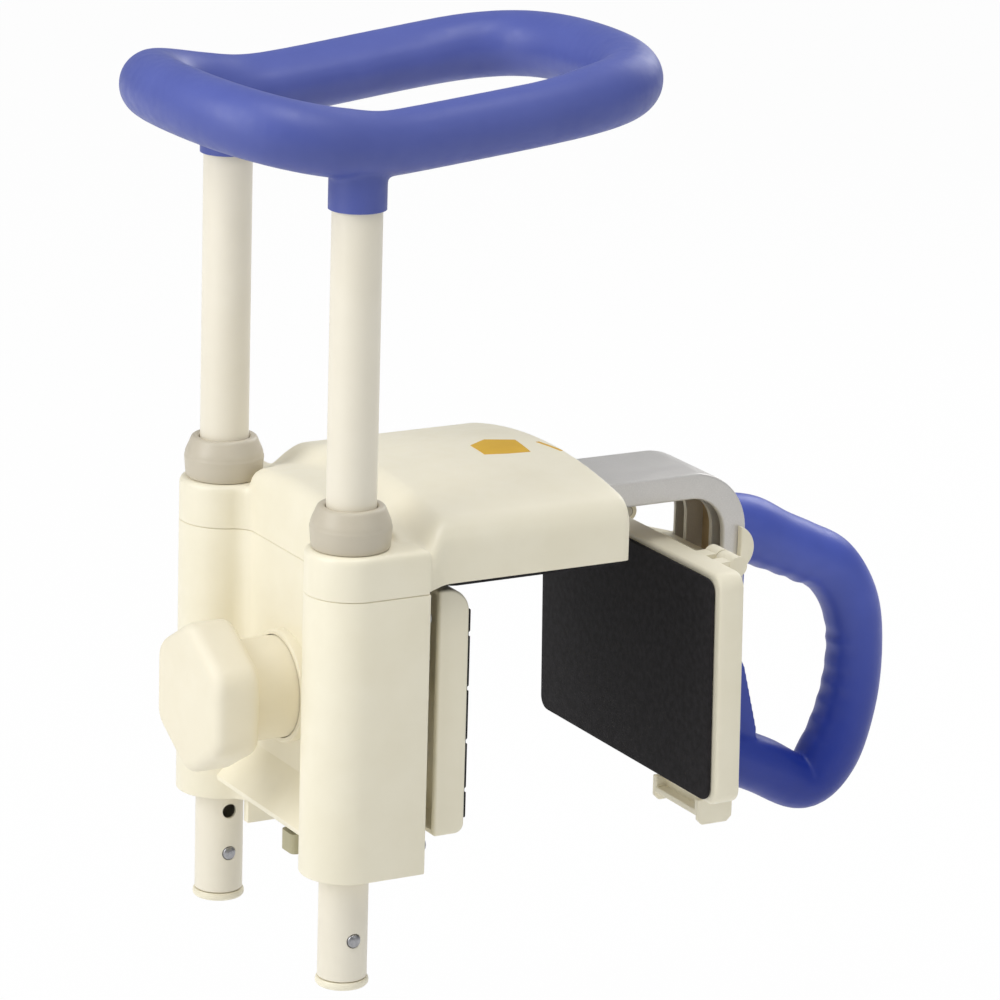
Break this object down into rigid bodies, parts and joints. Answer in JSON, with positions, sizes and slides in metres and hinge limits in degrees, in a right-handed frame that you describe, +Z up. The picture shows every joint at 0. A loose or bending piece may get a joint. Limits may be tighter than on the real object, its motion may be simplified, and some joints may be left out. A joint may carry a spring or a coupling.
{
  "type": "bathtub grab bar",
  "caption": "Grab bar that clamps over a bathtub rim: height-adjustable looped top grip on two posts, clamp knob and pads, slide arm with a side handle.",
  "frame": {"origin": "in the rim pad's face that rests on the rim of the tub, midway between its two bolt holes", "axes": "+X across the tub wall from the outside into the tub, +Y along the rim, +Z up"},
  "size_m": [0.4437, 0.1904, 0.4706],
  "materials": {
    "cream_plastic": "satin",
    "collar_plastic": "satin",
    "cream_paint": "satin",
    "blue_grip": "matte",
    "blue_handle": "matte",
    "silver_paint": "satin",
    "steel": "satin",
    "nylon": "matte",
    "black_rubber": "matte"
  },
  "bodies": {
    "frame": {"main_housing": "cream_plastic", "rear_cover_plate": "cream_plastic", "top_cover": "cream_plastic", "base_plate": "steel", "rim_seat_pad": "black_rubber", "arm_guide_tube": "steel", "arm_clamp_shoe": "nylon", "spindle_nut": "steel", "lock_spring": "steel", "outer_setting_bolt": "steel", "inner_setting_bolt": "steel", "rear_cover_screw_1": "steel", "rear_cover_screw_2": "steel", "rear_cover_screw_3": "steel", "rear_cover_screw_4": "steel", "front_post_collet": "nylon", "front_lower_bush": "nylon", "front_rod_bush": "nylon", "front_frame_screw": "steel", "front_cover_screw": "steel", "back_post_collet": "nylon", "back_lower_bush": "nylon", "back_rod_bush": "nylon", "back_frame_screw": "steel", "back_cover_screw": "steel"},
    "front_ring": {"front_lock_ring": "collar_plastic"},
    "back_ring": {"back_lock_ring": "collar_plastic"},
    "grip": {"top_grip_cover": "blue_grip", "grip_core_tube": "steel", "front_post": "cream_paint", "front_foot_cap": "cream_plastic", "front_button_spring": "steel", "back_post": "cream_paint", "back_foot_cap": "cream_plastic", "back_button_spring": "steel"},
    "front_button": {"front_snap_button": "collar_plastic"},
    "back_button": {"back_snap_button": "collar_plastic"},
    "plunger": {"release_plunger": "collar_plastic"},
    "front_lock": {"front_lock_slider": "steel"},
    "back_lock": {"back_lock_slider": "steel"},
    "clamp": {"outer_pad_holder": "cream_plastic", "outer_pad_rubber": "black_rubber", "thrust_washer": "nylon", "front_guide_rod": "steel", "back_guide_rod": "steel"},
    "knob": {"clamp_knob": "cream_plastic", "clamp_spindle": "steel"},
    "arm": {"slide_arm": "silver_paint", "arm_end_slider": "nylon", "leg_end_cap": "collar_plastic", "pad_bracket": "cream_plastic", "front_hinge_pin": "nylon", "back_hinge_pin": "nylon", "side_handle_cover": "blue_handle", "side_handle_frame": "steel", "upper_handle_bolt": "steel", "lower_handle_bolt": "steel"},
    "inner_pad": {"inner_pad_frame": "cream_plastic", "inner_pad_rubber": "black_rubber"}
  },
  "joints": [
    {"name": "front_ring_turn", "type": "hinge", "parent": "frame", "child": "front_ring", "pos_m": [-0.11, -0.072, 0.023], "axis": [0, 0, 1], "range_deg": [0, 90]},
    {"name": "back_ring_turn", "type": "hinge", "parent": "frame", "child": "back_ring", "pos_m": [-0.11, 0.072, 0.023], "axis": [0, 0, 1], "range_deg": [0, 90]},
    {"name": "grip_height", "type": "slide", "parent": "frame", "child": "grip", "axis": [0, 0, 1], "range_m": [-0.094, 0.0235]},
    {"name": "front_button_press", "type": "slide", "parent": "grip", "child": "front_button", "axis": [0, 1, 0], "range_m": [0, 0.0025], "stiffness_N_per_m": 600},
    {"name": "back_button_press", "type": "slide", "parent": "grip", "child": "back_button", "axis": [0, 1, 0], "range_m": [0, 0.0025], "stiffness_N_per_m": 600},
    {"name": "plunger_press", "type": "slide", "parent": "frame", "child": "plunger", "axis": [0, 0, 1], "range_m": [0, 0.006], "stiffness_N_per_m": 800},
    {"name": "front_lock_draw", "type": "slide", "parent": "frame", "child": "front_lock", "axis": [0, 1, 0], "range_m": [0, 0.0031]},
    {"name": "back_lock_draw", "type": "slide", "parent": "frame", "child": "back_lock", "axis": [0, -1, 0], "range_m": [0, 0.0031]},
    {"name": "pad_clamp", "type": "slide", "parent": "frame", "child": "clamp", "axis": [1, 0, 0], "range_m": [0, 0.0199]},
    {"name": "knob_turn", "type": "hinge", "parent": "clamp", "child": "knob", "pos_m": [-0.14, 0, -0.071], "axis": [1, 0, 0], "range_deg": [0, 1440]},
    {"name": "arm_reach", "type": "slide", "parent": "frame", "child": "arm", "axis": [1, 0, 0], "range_m": [-0.08, 0]},
    {"name": "inner_pad_rock", "type": "hinge", "parent": "arm", "child": "inner_pad", "pos_m": [0.119, 0, -0.016], "axis": [0, 1, 0], "range_deg": [-5, 5]}
  ],
  "couplings": [
    {"joint": "front_lock_draw", "follows": "plunger_press", "ratio": 0.5},
    {"joint": "back_lock_draw", "follows": "plunger_press", "ratio": 0.5},
    {"joint": "knob_turn", "follows": "pad_clamp", "rad_per_m": 1256.6}
  ]
}
